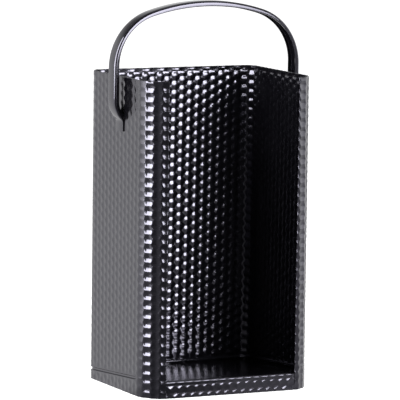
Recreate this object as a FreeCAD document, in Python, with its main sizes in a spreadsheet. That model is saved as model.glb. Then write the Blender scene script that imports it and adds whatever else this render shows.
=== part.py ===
"""Briquette carrier: a tall box of thin embossed steel sheet, open at the top and the front.

Four pieces of sheet metal make it up. The shell is one sheet wrapped round the left, the back and the
right, with its front edges rolled inward as returns, its rim hemmed and a bead pressed into it near the
foot. A floor pan is pushed up under that bead and slopes down to the back, so that the briquettes lean
into the box. A low lip closes the foot of the front, its ends tucked behind the returns. A pressed
channel strap arches over the rim as the handle, and its flat end tabs are welded to the side walls.

Frame: millimetres, +Z up, the front faces -Y, the origin is under the middle of the box on the ground.
"""
import FreeCAD, Part
import Sketcher
import math
import os

from FreeCAD import Placement, Rotation, Vector

SIZES = [
    ("width", 200.0, "outside width of the box"),
    ("depth", 160.0, "outside depth, back face to the free edges of the returns"),
    ("height", 342.0, "height of the rim above the ground"),
    ("sheet", 1.0, "thickness of the shell's sheet"),
    ("back_radius", 14.0, "outside radius of the two back corners"),
    ("front_radius", 30.0, "outside radius of the two rolled returns"),
    ("return_angle", 75.0, "how far each return turns inward, degrees"),
    ("hem_height", 5.0, "height of the rim's folded hem"),
    ("fold_flat", 0.1, "flat left beside each rounded edge of a folded or pressed sheet"),
    ("bead_radius", 1.6, "radius of the groove pressed into the shell"),
    ("bead_back_height", 11.0, "height of the bead's middle at the back face"),
    ("bead_setback", 33.0, "from the front of the box to the bead's round ends"),
    ("floor_slope", 3.8, "fall of the floor and bead toward the back, degrees"),
    ("weld_gap", 0.1, "paint and weld gap between two pieces of sheet"),
    ("lip_sheet", 1.0, "thickness of the lip's sheet"),
    ("lip_height", 17.8, "height of the front lip"),
    ("lip_tuck", 22.0, "how far the lip runs on behind each return, degrees"),
    ("pan_sheet", 1.0, "thickness of the floor pan's sheet"),
    ("pan_bend", 1.4, "how far the bevelled bends of the floor pan reach over its edges"),
    ("pan_corner_ease", 2.0, "how much rounder the pan's front corners are than the returns"),
    ("pan_foot", 1.0, "height of the pan's flange edges above the ground"),
    ("strap_width", 18.0, "width of the handle strap, front to back"),
    ("strap_sheet", 1.2, "thickness of the strap's sheet"),
    ("strap_forward", 3.6, "handle's middle, forward of the box's middle"),
    ("handle_rise", 79.5, "from the rim to the top of the handle"),
    ("standoff", 11.4, "from the side wall to the outer face of the strap's legs"),
    ("crown_radius", 221.0, "outer radius over the top of the handle"),
    ("shoulder_radius", 64.0, "outer radius of the handle's shoulders"),
    ("grip_depth", 5.9, "depth of the channel at the top of the handle"),
    ("leg_depth", 5.4, "depth of the channel along the legs"),
    ("inner_crown_radius", 233.5, "radius of the flange edges under the grip"),
    ("inner_shoulder_radius", 55.4, "radius of the flange edges in the shoulders"),
    ("leg_drop", 26.4, "from the rim down to where the legs start to curve in"),
    ("flange_drop", 23.3, "from the rim down to where the flange edges start to curve in"),
    ("joggle_radius", 28.0, "outer radius of the legs' inward curve"),
    ("joggle_inner_radius", 40.0, "radius of the flange edges in the inward curve"),
    ("tab_bend", 4.0, "radius where a leg's inward curve runs out into its tab"),
    ("tab_length", 9.7, "height of the flat part of the tab under each leg"),
]

# Closeness, in millimetres, that counts as touching when edges are picked out
TOUCH = 0.01
# A face counts as facing down when the upright part of its direction is under this
FACING_DOWN = -0.9

doc = FreeCAD.newDocument("briquette_carrier")
sizes = doc.addObject("Spreadsheet::Sheet", "sizes")
for row, (alias, value, meaning) in enumerate(SIZES, start=1):
    sizes.set(f"A{row}", alias)
    sizes.set(f"B{row}", str(value))
    sizes.set(f"C{row}", meaning)
    sizes.setAlias(f"B{row}", alias)
doc.recompute()


def size(alias):
    """A driving dimension, as the sheet holds it."""
    return float(sizes.get(alias))


# Plan of the box: the places that several pieces share, as numbers and as the sheet's own formulas

HALF_WIDTH = size("width") / 2
BACK = size("depth") / 2
RETURN_TURN = math.radians(size("return_angle"))
FRONT_CENTRE_X = HALF_WIDTH - size("front_radius")
FRONT_CENTRE_Y = -BACK + size("front_radius") * math.sin(RETURN_TURN)
FRONT_CENTRE_Y_RULE = "-sizes.depth / 2 + sizes.front_radius * sin(sizes.return_angle * 1deg)"
BEAD_OUT = size("bead_radius") + size("sheet")
SLOPE = math.tan(math.radians(size("floor_slope")))
BEAD_MIDDLE = size("bead_back_height") + BACK * SLOPE
BEAD_MIDDLE_RULE = "sizes.bead_back_height + sizes.depth / 2 * tan(sizes.floor_slope * 1deg)"


def polar(centre, radius, degrees):
    """The point at an angle on a circle."""
    angle = math.radians(degrees)
    return (centre[0] + radius * math.cos(angle), centre[1] + radius * math.sin(angle))


class Path:
    """A chain of lines and arcs in a sketch, each joined to the one before it."""

    def __init__(self, sketch):
        self.sketch = sketch
        self.chain = []
        self.tip = None

    def join(self, number, first, last, smooth):
        """Ties a new piece to the end of the chain, tangent where the outline is smooth there."""
        if self.chain:
            before, _, end = self.chain[-1]
            kind = "Tangent" if smooth else "Coincident"
            self.sketch.addConstraint(Sketcher.Constraint(kind, before, end, number, first))
        self.chain.append((number, first, last))
        return number

    def line(self, start, end, smooth=True):
        """A straight piece; start may be None to go on from the last point."""
        start = self.tip if start is None else start
        segment = Part.LineSegment(Vector(start[0], start[1], 0), Vector(end[0], end[1], 0))
        self.tip = end
        return self.join(self.sketch.addGeometry(segment, False), 1, 2, smooth)

    def arc(self, centre, radius, begin, finish, smooth=True):
        """A round piece between two angles in degrees, clockwise where the second is the smaller."""
        circle = Part.Circle(Vector(centre[0], centre[1], 0), Vector(0, 0, 1), radius)
        low, high = sorted((begin, finish))
        piece = Part.ArcOfCircle(circle, math.radians(low), math.radians(high))
        number = self.sketch.addGeometry(piece, False)
        self.tip = polar(centre, radius, finish)
        ends = (1, 2) if finish > begin else (2, 1)
        return self.join(number, *ends, smooth)

    def close(self, smooth=False):
        """Ties the last piece to the first."""
        number, _, end = self.chain[-1]
        first, start, _ = self.chain[0]
        kind = "Tangent" if smooth else "Coincident"
        self.sketch.addConstraint(Sketcher.Constraint(kind, number, end, first, start))

    def end_of(self, number, last=True):
        """Number and point of a piece's end in the chain's own direction."""
        for piece, start, finish in self.chain:
            if piece == number:
                return (piece, finish if last else start)
        raise ValueError("no such piece in the path")


def bind(sketch, name, rule, kind, *where):
    """Adds a dimension to a sketch and ties it to a formula of the sheet."""
    number = sketch.addConstraint(Sketcher.Constraint(kind, *where))
    sketch.renameConstraint(number, name)
    sketch.setExpression(f"Constraints.{name}", rule)


def new_body(label):
    """A body whose label names the piece."""
    body = doc.addObject("PartDesign::Body", label)
    body.Label = label
    return body


def new_sketch(body, name, role, offset=None, rotation=None):
    """A sketch on one of its body's origin planes, shifted and turned from there if asked."""
    sketch = body.newObject("Sketcher::SketchObject", name)
    plane = next(item for item in body.Origin.OriginFeatures if item.Role == role)
    sketch.AttachmentSupport = [(plane, "")]
    sketch.MapMode = "FlatFace"
    sketch.AttachmentOffset = Placement(Vector(*(offset or (0, 0, 0))), rotation or Rotation())
    return sketch


def feature(body, kind, name, sketch=None, **rules):
    """A solid feature of a body, its properties tied to formulas of the sheet."""
    item = body.newObject(f"PartDesign::{kind}", name)
    if sketch is not None:
        item.Profile = sketch
    for prop, rule in rules.items():
        item.setExpression(prop, rule)
    return item


def edge_names(shape, wanted):
    """Names of the edges of a shape that pass a test."""
    return [f"Edge{n}" for n, edge in enumerate(shape.Edges, start=1) if wanted(edge)]


def face_names(shape, wanted):
    """Names of the faces of a shape that pass a test."""
    return [f"Face{n}" for n, face in enumerate(shape.Faces, start=1) if wanted(face)]


# Shell: one wrapped sheet with rolled returns, a hemmed rim and a pressed bead


def wrap_section(body, name, inset, inset_rule, height_rule=None):
    """Plan section of the wrapped sheet, one sheet thick, inset from the outside of the box."""
    thick = size("sheet")
    turn = size("return_angle")
    sketch = new_sketch(body, name, "XY_Plane")
    if height_rule:
        sketch.setExpression("AttachmentOffset.Base.z", height_rule)
    path = Path(sketch)
    centres = {
        "left_front": (-FRONT_CENTRE_X, FRONT_CENTRE_Y),
        "left_back": (-HALF_WIDTH + size("back_radius"), BACK - size("back_radius")),
        "right_back": (HALF_WIDTH - size("back_radius"), BACK - size("back_radius")),
        "right_front": (FRONT_CENTRE_X, FRONT_CENTRE_Y),
    }
    outer_arcs = {}
    inner_arcs = {}
    front, back = size("front_radius") - inset, size("back_radius") - inset
    # Outside of the sheet, from the left free edge round the back to the right free edge
    outer_arcs["left_front"] = path.arc(centres["left_front"], front, 180 + turn, 180)
    left = path.line(None, polar(centres["left_back"], back, 180))
    outer_arcs["left_back"] = path.arc(centres["left_back"], back, 180, 90)
    rear = path.line(None, polar(centres["right_back"], back, 90))
    outer_arcs["right_back"] = path.arc(centres["right_back"], back, 90, 0)
    right = path.line(None, polar(centres["right_front"], front, 0))
    outer_arcs["right_front"] = path.arc(centres["right_front"], front, 0, -turn)
    # Inside of the sheet, back the same way
    front, back = front - thick, back - thick
    path.line(None, polar(centres["right_front"], front, -turn), smooth=False)
    inner_arcs["right_front"] = path.arc(centres["right_front"], front, -turn, 0, smooth=False)
    path.line(None, polar(centres["right_back"], back, 0))
    inner_arcs["right_back"] = path.arc(centres["right_back"], back, 0, 90)
    path.line(None, polar(centres["left_back"], back, 90))
    inner_arcs["left_back"] = path.arc(centres["left_back"], back, 90, 180)
    path.line(None, polar(centres["left_front"], front, 180))
    inner_arcs["left_front"] = path.arc(centres["left_front"], front, 180, 180 + turn)
    path.line(None, polar(centres["left_front"], front + thick, 180 + turn), smooth=False)
    path.close()

    for line, kind in ((left, "Vertical"), (rear, "Horizontal"), (right, "Vertical")):
        sketch.addConstraint(Sketcher.Constraint(kind, line))
    for corner, number in outer_arcs.items():
        radius = "front_radius" if corner.endswith("front") else "back_radius"
        value = size(radius) - inset
        rule = f"sizes.{radius} - {inset_rule}"
        bind(sketch, f"{corner}_outer", rule, "Radius", number, value)
        inner = inner_arcs[corner]
        bind(sketch, f"{corner}_inner", f"{rule} - sizes.sheet", "Radius", inner, value - thick)
        sketch.addConstraint(Sketcher.Constraint("Coincident", number, 3, inner, 3))
    for side, sign, line in (("left", -1, left), ("right", 1, right)):
        wall = sign * (HALF_WIDTH - inset)
        rule = f"{sign} * (sizes.width / 2 - {inset_rule})"
        bind(sketch, f"{side}_wall", rule, "DistanceX", line, 1, wall)
        number = outer_arcs[f"{side}_front"]
        bind(sketch, f"{side}_centre", FRONT_CENTRE_Y_RULE, "DistanceY", number, 3, FRONT_CENTRE_Y)
        for layer, arcs, extra in (("outer", outer_arcs, 0), ("inner", inner_arcs, thick)):
            reach = size("front_radius") - inset - extra
            place = sign * (FRONT_CENTRE_X + reach * math.cos(RETURN_TURN))
            more = " - sizes.sheet" if extra else ""
            rule = (f"{sign} * (sizes.width / 2 - sizes.front_radius"
                    f" + (sizes.front_radius - {inset_rule}{more}) * cos(sizes.return_angle * 1deg))")
            point = path.end_of(arcs[f"{side}_front"], last=(side == "right") == (layer == "outer"))
            bind(sketch, f"{side}_edge_{layer}", rule, "DistanceX", *point, place)
    bind(sketch, "back_wall", f"sizes.depth / 2 - {inset_rule}", "DistanceY", rear, 1, BACK - inset)
    return sketch


def solid(kind, name, rotation=None, **rules):
    """A plain solid, its sizes and its place tied to formulas of the sheet."""
    item = doc.addObject(f"Part::{kind}", name)
    item.Placement = Placement(Vector(), rotation or Rotation())
    for prop, rule in rules.items():
        item.setExpression(prop.replace("at_", "Placement.Base."), rule)
    return item


def bead_tube(name, radius_rule):
    """A tube along the bead's sloping line: the back run, then a corner, a run and a ball end each side."""
    slope_turn = "sizes.floor_slope * 1deg"
    wall = "sizes.width / 2"
    side_run = "(sizes.depth - sizes.bead_setback)"
    down = Vector(-1, 0, 0)
    back = solid("Cylinder", f"{name}_back", Rotation(Vector(0, 1, 0), 90),
                 Radius=radius_rule, Height="sizes.width - 2 * sizes.back_radius",
                 at_x="-sizes.width / 2 + sizes.back_radius",
                 at_y="sizes.depth / 2", at_z="sizes.bead_back_height")
    corner = solid("Torus", f"{name}_corner", Rotation(down, size("floor_slope")),
                   Radius1="sizes.back_radius", Radius2=radius_rule,
                   at_x=f"{wall} - sizes.back_radius",
                   at_y=f"sizes.depth / 2 - sizes.back_radius * cos({slope_turn})",
                   at_z=f"sizes.bead_back_height + sizes.back_radius * sin({slope_turn})")
    corner.Angle3 = 90
    corner.setExpression("Placement.Rotation.Angle", "sizes.floor_slope")
    end_place = dict(at_x=wall, at_y="-sizes.depth / 2 + sizes.bead_setback",
                     at_z=f"sizes.bead_back_height + {side_run} * tan({slope_turn})")
    run = solid("Cylinder", f"{name}_side", Rotation(down, 90 + size("floor_slope")), Radius=radius_rule,
                Height=f"{side_run} / cos({slope_turn}) - sizes.back_radius", **end_place)
    run.setExpression("Placement.Rotation.Angle", "90 + sizes.floor_slope")
    ball = solid("Sphere", f"{name}_end", Radius=radius_rule, **end_place)
    right = doc.addObject("Part::MultiFuse", f"{name}_right")
    right.Shapes = [corner, run, ball]
    left = doc.addObject("Part::Mirroring", f"{name}_left")
    left.Source = right
    left.Normal = Vector(1, 0, 0)
    tube = doc.addObject("Part::MultiFuse", name)
    tube.Shapes = [back, right, left]
    doc.recompute()
    return tube


def bead_limit():
    """Block that keeps the bead's ridge inside the box: its faces lie in the middle of the sheet."""
    half_sheet = "sizes.sheet / 2"
    block = solid("Box", "bead_block", Length=f"sizes.width - 2 * {half_sheet}",
                  Width=f"sizes.depth - {half_sheet}", Height="sizes.bead_back_height + sizes.depth",
                  at_x=f"-sizes.width / 2 + {half_sheet}", at_y="-sizes.depth / 2")
    doc.recompute()
    limit = doc.addObject("Part::Fillet", "bead_limit")
    limit.Base = block
    radius = size("back_radius") - size("sheet") / 2
    rear = BACK - size("sheet") / 2
    corners = [n for n, edge in enumerate(block.Shape.Edges, start=1)
               if is_upright(edge) and abs(edge.BoundBox.YMin - rear) < TOUCH]
    limit.Edges = [(number, radius, radius) for number in corners]
    doc.recompute()
    return limit


def make_shell():
    """The wrapped sheet with its hem and its bead."""
    body = new_body("wrapped_sheet")
    wall = wrap_section(body, "wall_section", 0.0, "0")
    feature(body, "Pad", "wall", wall, Length="sizes.height")
    hem = wrap_section(body, "hem_section", size("sheet"), "sizes.sheet", "sizes.height - sizes.hem_height")
    feature(body, "Pad", "hem", hem, Length="sizes.hem_height")
    doc.recompute()

    # Fold of the hem: the rim's edges are rounded, apart from the two across the folded sheet's ends
    top = size("height")
    folded = body.Tip
    across = 2 * size("sheet")
    rim = edge_names(folded.Shape, lambda e: e.BoundBox.ZMin > top - TOUCH and e.Length > across + TOUCH)
    fold = feature(body, "Fillet", "rim_fold", Radius="sizes.sheet - sizes.fold_flat")
    fold.Base = (folded, rim)
    doc.recompute()

    # Bead: a ridge inside, then the groove that makes it
    ridge = doc.addObject("Part::Common", "bead_ridge")
    ridge.Base = bead_tube("bead_outside", "sizes.bead_radius + sizes.sheet")
    ridge.Tool = bead_limit()
    ridged = doc.addObject("Part::Fuse", "ridged_sheet")
    ridged.Base = body
    ridged.Tool = ridge
    shell = doc.addObject("Part::Cut", "shell")
    shell.Label = "shell"
    shell.Base = ridged
    shell.Tool = bead_tube("bead_groove", "sizes.bead_radius")
    doc.recompute()
    return shell


# Front lip: a low strip across the foot of the front, its ends tucked behind the returns


def make_lip():
    """The lip, round at both ends to nest inside the returns."""
    body = new_body("front_lip")
    outer = size("front_radius") - size("sheet") - size("weld_gap")
    inner = outer - size("lip_sheet")
    tuck = size("return_angle") - size("lip_tuck")
    outer_rule = "sizes.front_radius - sizes.sheet - sizes.weld_gap"
    inner_rule = f"{outer_rule} - sizes.lip_sheet"
    left, right = (-FRONT_CENTRE_X, FRONT_CENTRE_Y), (FRONT_CENTRE_X, FRONT_CENTRE_Y)
    sketch = new_sketch(body, "lip_section", "XY_Plane")
    path = Path(sketch)
    left_outer = path.arc(left, outer, 180 + tuck, 270)
    face = path.line(None, polar(right, outer, 270))
    right_outer = path.arc(right, outer, 270, 360 - tuck)
    path.line(None, polar(right, inner, 360 - tuck), smooth=False)
    right_inner = path.arc(right, inner, 360 - tuck, 270, smooth=False)
    path.line(None, polar(left, inner, 270))
    left_inner = path.arc(left, inner, 270, 180 + tuck)
    path.line(None, polar(left, outer, 180 + tuck), smooth=False)
    path.close()
    sketch.addConstraint(Sketcher.Constraint("Horizontal", face))
    ends = (("left", -1, left_outer, left_inner), ("right", 1, right_outer, right_inner))
    for side, sign, out_arc, in_arc in ends:
        bind(sketch, f"{side}_outer", outer_rule, "Radius", out_arc, outer)
        bind(sketch, f"{side}_inner", inner_rule, "Radius", in_arc, inner)
        sketch.addConstraint(Sketcher.Constraint("Coincident", out_arc, 3, in_arc, 3))
        rule = f"{sign} * (sizes.width / 2 - sizes.front_radius)"
        bind(sketch, f"{side}_centre", rule, "DistanceX", out_arc, 3, sign * FRONT_CENTRE_X)
        layers = (("outer", out_arc, outer, outer_rule), ("inner", in_arc, inner, inner_rule))
        for layer, arc, radius, radius_rule in layers:
            place = sign * (FRONT_CENTRE_X + radius * math.cos(math.radians(tuck)))
            reach = f"({radius_rule}) * cos((sizes.return_angle - sizes.lip_tuck) * 1deg)"
            rule = f"{sign} * (sizes.width / 2 - sizes.front_radius + {reach})"
            point = path.end_of(arc, last=(side == "right") == (layer == "outer"))
            bind(sketch, f"{side}_end_{layer}", rule, "DistanceX", *point, place)
    bind(sketch, "front_centre", FRONT_CENTRE_Y_RULE, "DistanceY", left_outer, 3, FRONT_CENTRE_Y)
    feature(body, "Pad", "strip", sketch, Length="sizes.lip_height")
    return body


# Floor pan: an upside-down tray under the bead, its top sloping down to the back


def make_floor_pan():
    """The floor with flanges square to it all round: built level, then set on the slope."""
    body = new_body("floor_pan")
    level = BEAD_MIDDLE - BEAD_OUT
    level_rule = f"{BEAD_MIDDLE_RULE} - sizes.bead_radius - sizes.sheet"
    body.Placement = Placement(Vector(0, 0, level), Rotation(Vector(-1, 0, 0), size("floor_slope")))
    body.setExpression("Placement.Base.z", level_rule)
    body.setExpression("Placement.Rotation.Angle", "sizes.floor_slope")

    # Outline of the floor: the back flange meets the wall at its bend, the front one the lip at its foot
    shrink = math.cos(math.radians(size("floor_slope")))
    side = HALF_WIDTH - size("sheet") - size("weld_gap")
    back = (BACK - size("sheet") - size("weld_gap")) / shrink
    layers = size("sheet") + size("lip_sheet") + 2 * size("weld_gap")
    lip_back = FRONT_CENTRE_Y - size("front_radius") + layers
    drop = level - size("pan_foot")
    front = (lip_back + drop * SLOPE) * shrink
    back_round = size("back_radius") - size("sheet") - size("weld_gap")
    front_round = size("front_radius") + size("pan_corner_ease")
    sketch = new_sketch(body, "pan_outline", "XY_Plane")
    path = Path(sketch)
    corners = []
    left = path.line((-side, front + front_round), (-side, back - back_round))
    corners.append(path.arc((-side + back_round, back - back_round), back_round, 180, 90))
    rear = path.line(None, (side - back_round, back))
    corners.append(path.arc((side - back_round, back - back_round), back_round, 90, 0))
    right = path.line(None, (side, front + front_round))
    corners.append(path.arc((side - front_round, front + front_round), front_round, 0, -90))
    face = path.line(None, (-side + front_round, front))
    corners.append(path.arc((-side + front_round, front + front_round), front_round, 270, 180))
    path.close(smooth=True)
    for line, kind in ((left, "Vertical"), (rear, "Horizontal"), (right, "Vertical"), (face, "Horizontal")):
        sketch.addConstraint(Sketcher.Constraint(kind, line))
    inset = "(sizes.sheet + sizes.weld_gap)"
    slope_turn = "sizes.floor_slope * 1deg"
    back_corner = (back_round, f"sizes.back_radius - {inset}")
    front_corner = (front_round, "sizes.front_radius + sizes.pan_corner_ease")
    rounds = (back_corner, back_corner, front_corner, front_corner)
    for number, (arc, (radius, rule)) in enumerate(zip(corners, rounds)):
        bind(sketch, f"corner_{number}", rule, "Radius", arc, radius)
    bind(sketch, "left_side", f"-(sizes.width / 2 - {inset})", "DistanceX", left, 1, -side)
    bind(sketch, "right_side", f"sizes.width / 2 - {inset}", "DistanceX", right, 1, side)
    bind(sketch, "back_side", f"(sizes.depth / 2 - {inset}) / cos({slope_turn})", "DistanceY", rear, 1, back)
    layers_rule = "sizes.sheet + sizes.lip_sheet + 2 * sizes.weld_gap"
    lip_back_rule = f"{FRONT_CENTRE_Y_RULE} - sizes.front_radius + {layers_rule}"
    drop_rule = f"({level_rule} - sizes.pan_foot)"
    rule = f"({lip_back_rule} + {drop_rule} * tan({slope_turn})) * cos({slope_turn})"
    bind(sketch, "front_side", rule, "DistanceY", face, 1, front)
    block = feature(body, "Pad", "block", sketch)
    block.Reversed = True
    block.setExpression("Length", f"{level_rule} + sizes.depth * tan({slope_turn})")
    doc.recompute()

    # The flanges end level with the ground
    reach = size("depth")
    foot = -drop / shrink
    below = new_sketch(body, "below_flanges", "YZ_Plane")
    path = Path(below)
    foot_line = path.line((reach, foot + reach * SLOPE), (-reach, foot - reach * SLOPE))
    fall = path.line(None, (-reach, foot - reach), smooth=False)
    path.line(None, (reach, foot - reach), smooth=False)
    rise = path.line(None, (reach, foot + reach * SLOPE), smooth=False)
    path.close()
    for line in (fall, rise):
        below.addConstraint(Sketcher.Constraint("Vertical", line))
    foot_rule = f"-{drop_rule} / cos({slope_turn})"
    tilt = f"sizes.depth * tan({slope_turn})"
    bind(below, "back_reach", "sizes.depth", "DistanceX", foot_line, 1, reach)
    bind(below, "back_foot", f"{foot_rule} + {tilt}", "DistanceY", foot_line, 1, foot + reach * SLOPE)
    bind(below, "front_reach", "-sizes.depth", "DistanceX", foot_line, 2, -reach)
    bind(below, "front_foot", f"{foot_rule} - {tilt}", "DistanceY", foot_line, 2, foot - reach * SLOPE)
    bind(below, "front_deep", f"{foot_rule} - sizes.depth", "DistanceY", fall, 2, foot - reach)
    bind(below, "back_deep", f"{foot_rule} - sizes.depth", "DistanceY", rise, 1, foot - reach)
    trim = feature(body, "Pocket", "flange_trim", below)
    trim.Midplane = True
    trim.setExpression("Length", "2 * sizes.width")
    doc.recompute()

    # Bevelled bends round the top, then the tray is hollowed from below to one sheet thickness
    bends = edge_names(trim.Shape, lambda e: e.BoundBox.ZMin > -TOUCH)
    bend = feature(body, "Chamfer", "top_bend", Size="sizes.pan_bend")
    bend.Base = (trim, bends)
    doc.recompute()
    under = face_names(bend.Shape, lambda f: f.normalAt(0, 0).z < FACING_DOWN)
    hollow = feature(body, "Thickness", "tray", Value="sizes.pan_sheet")
    hollow.Base = (bend, under)
    hollow.Reversed = True
    hollow.Join = 0
    return body


def is_upright(edge):
    """True for a straight edge that runs along Z."""
    ends = [vertex.Point for vertex in edge.Vertexes]
    return len(ends) == 2 and math.hypot(ends[0].x - ends[1].x, ends[0].y - ends[1].y) < TOUCH


# Handle: a pressed channel strap, arched over the rim, with its ends curved in to flat tabs


def arch_centres(span, top, crown, shoulder):
    """Centres of the crown and the right shoulder, and the angle from the vertical where they meet."""
    meet = math.asin((span - shoulder) / (crown - shoulder))
    crown_centre = (0.0, top - crown)
    shoulder_centre = (span - shoulder, top - crown + (crown - shoulder) * math.cos(meet))
    return crown_centre, shoulder_centre, math.degrees(meet)


def bind_arch(sketch, prefix, arcs, radii, rules, top, top_rule):
    """Ties the radii of an arch's three arcs and the height of its crown to the sheet."""
    left, crown, right = arcs
    for name, arc, radius, rule in (
        ("left_shoulder", left, radii[1], rules[1]),
        ("crown", crown, radii[0], rules[0]),
        ("right_shoulder", right, radii[1], rules[1]),
    ):
        bind(sketch, f"{prefix}_{name}", rule, "Radius", arc, radius)
    rule = f"{top_rule} - ({rules[0]})"
    bind(sketch, f"{prefix}_crown_height", rule, "DistanceY", crown, 3, top - radii[0])


def strap_side(body):
    """Side view of the strap: the outer face, the tabs on the walls and the edges of the flanges."""
    rim = size("height")
    wall = HALF_WIDTH + size("weld_gap")
    tab = wall + size("strap_sheet")
    span = HALF_WIDTH + size("standoff")
    top = rim + size("handle_rise")
    crown, shoulder, meet = arch_centres(span, top, size("crown_radius"), size("shoulder_radius"))
    inner_span, inner_top = span - size("leg_depth"), top - size("grip_depth")
    inner = arch_centres(inner_span, inner_top, size("inner_crown_radius"), size("inner_shoulder_radius"))
    inner_crown, inner_shoulder, inner_meet = inner
    bend = rim - size("leg_drop")
    reach, inner_reach = size("joggle_radius"), size("joggle_inner_radius")
    inner_bend = rim - size("flange_drop")
    ease = size("tab_bend")
    turn = math.degrees(math.acos((tab + ease - span + reach) / (reach + ease)))
    inner_turn = math.degrees(math.acos((wall - inner_span + inner_reach) / inner_reach))
    tab_top = bend - (reach + ease) * math.sin(math.radians(turn))
    tab_foot = tab_top - size("tab_length")

    sketch = new_sketch(body, "strap_side", "XZ_Plane")
    path = Path(sketch)
    # Outer face, from the left tab over the top to the right tab
    tab_left = path.line((-tab, tab_foot), (-tab, tab_top))
    ease_left = path.arc((-tab - ease, tab_top), ease, 0, turn)
    curve_left = path.arc((-span + reach, bend), reach, 180 + turn, 180)
    leg_left = path.line(None, (-span, shoulder[1]))
    outer_left = path.arc((-shoulder[0], shoulder[1]), size("shoulder_radius"), 180, 90 + meet)
    outer_crown = path.arc(crown, size("crown_radius"), 90 + meet, 90 - meet)
    outer_right = path.arc(shoulder, size("shoulder_radius"), 90 - meet, 0)
    leg_right = path.line(None, (span, bend))
    curve_right = path.arc((span - reach, bend), reach, 0, -turn)
    ease_right = path.arc((tab + ease, tab_top), ease, 180 - turn, 180)
    tab_right = path.line(None, (tab, tab_foot))
    foot_right = path.line(None, (wall, tab_foot), smooth=False)
    # Wall side of the tabs and the flanges' free edges, back to the left
    edge_centre = (inner_span - inner_reach, inner_bend)
    wall_right = path.line(None, polar(edge_centre, inner_reach, -inner_turn), smooth=False)
    edge_right = path.arc(edge_centre, inner_reach, -inner_turn, 0, smooth=False)
    rise_right = path.line(None, (inner_span, inner_shoulder[1]))
    inner_right = path.arc(inner_shoulder, size("inner_shoulder_radius"), 0, 90 - inner_meet)
    inner_top_arc = path.arc(inner_crown, size("inner_crown_radius"), 90 - inner_meet, 90 + inner_meet)
    left_shoulder = (-inner_shoulder[0], inner_shoulder[1])
    inner_left = path.arc(left_shoulder, size("inner_shoulder_radius"), 90 + inner_meet, 180)
    rise_left = path.line(None, (-inner_span, inner_bend))
    edge_left = path.arc((-edge_centre[0], inner_bend), inner_reach, 180, 180 + inner_turn)
    wall_left = path.line(None, (-wall, tab_foot), smooth=False)
    foot_left = path.line(None, (-tab, tab_foot), smooth=False)
    path.close()

    uprights = (tab_left, leg_left, leg_right, tab_right, wall_right, rise_right, rise_left, wall_left)
    for line in uprights:
        sketch.addConstraint(Sketcher.Constraint("Vertical", line))
    for line in (foot_left, foot_right):
        sketch.addConstraint(Sketcher.Constraint("Horizontal", line))
    top_rule = "sizes.height + sizes.handle_rise"
    bind_arch(sketch, "outer", (outer_left, outer_crown, outer_right),
              (size("crown_radius"), size("shoulder_radius")),
              ("sizes.crown_radius", "sizes.shoulder_radius"), top, top_rule)
    bind_arch(sketch, "inner", (inner_left, inner_top_arc, inner_right),
              (size("inner_crown_radius"), size("inner_shoulder_radius")),
              ("sizes.inner_crown_radius", "sizes.inner_shoulder_radius"),
              inner_top, f"{top_rule} - sizes.grip_depth")
    span_rule = "(sizes.width / 2 + sizes.standoff)"
    wall_rule = "(sizes.width / 2 + sizes.weld_gap)"
    sides = (
        ("left", -1, leg_left, rise_left, tab_left, wall_left, curve_left, edge_left, ease_left),
        ("right", 1, leg_right, rise_right, tab_right, wall_right, curve_right, edge_right, ease_right),
    )
    for side, sign, leg, rise, tab_line, wall_line, curve, edge, ease_arc in sides:
        bind(sketch, f"{side}_leg", f"{sign} * {span_rule}", "DistanceX", leg, 1, sign * span)
        rule = f"{sign} * ({span_rule} - sizes.leg_depth)"
        bind(sketch, f"{side}_flange", rule, "DistanceX", rise, 1, sign * inner_span)
        rule = f"{sign} * ({wall_rule} + sizes.strap_sheet)"
        bind(sketch, f"{side}_tab", rule, "DistanceX", tab_line, 1, sign * tab)
        bind(sketch, f"{side}_wall", f"{sign} * {wall_rule}", "DistanceX", wall_line, 1, sign * wall)
        bind(sketch, f"{side}_joggle", "sizes.joggle_radius", "Radius", curve, reach)
        bind(sketch, f"{side}_flange_joggle", "sizes.joggle_inner_radius", "Radius", edge, inner_reach)
        bind(sketch, f"{side}_tab_bend", "sizes.tab_bend", "Radius", ease_arc, ease)
        rule = "sizes.height - sizes.leg_drop"
        bind(sketch, f"{side}_bend", rule, "DistanceY", curve, 3, bend)
        rule = "sizes.height - sizes.flange_drop"
        bind(sketch, f"{side}_flange_bend", rule, "DistanceY", edge, 3, inner_bend)
        ends = (tab_line, 1, tab_line, 2) if side == "left" else (tab_line, 2, tab_line, 1)
        bind(sketch, f"{side}_tab_length", "sizes.tab_length", "DistanceY", *ends, size("tab_length"))
    return sketch


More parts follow.
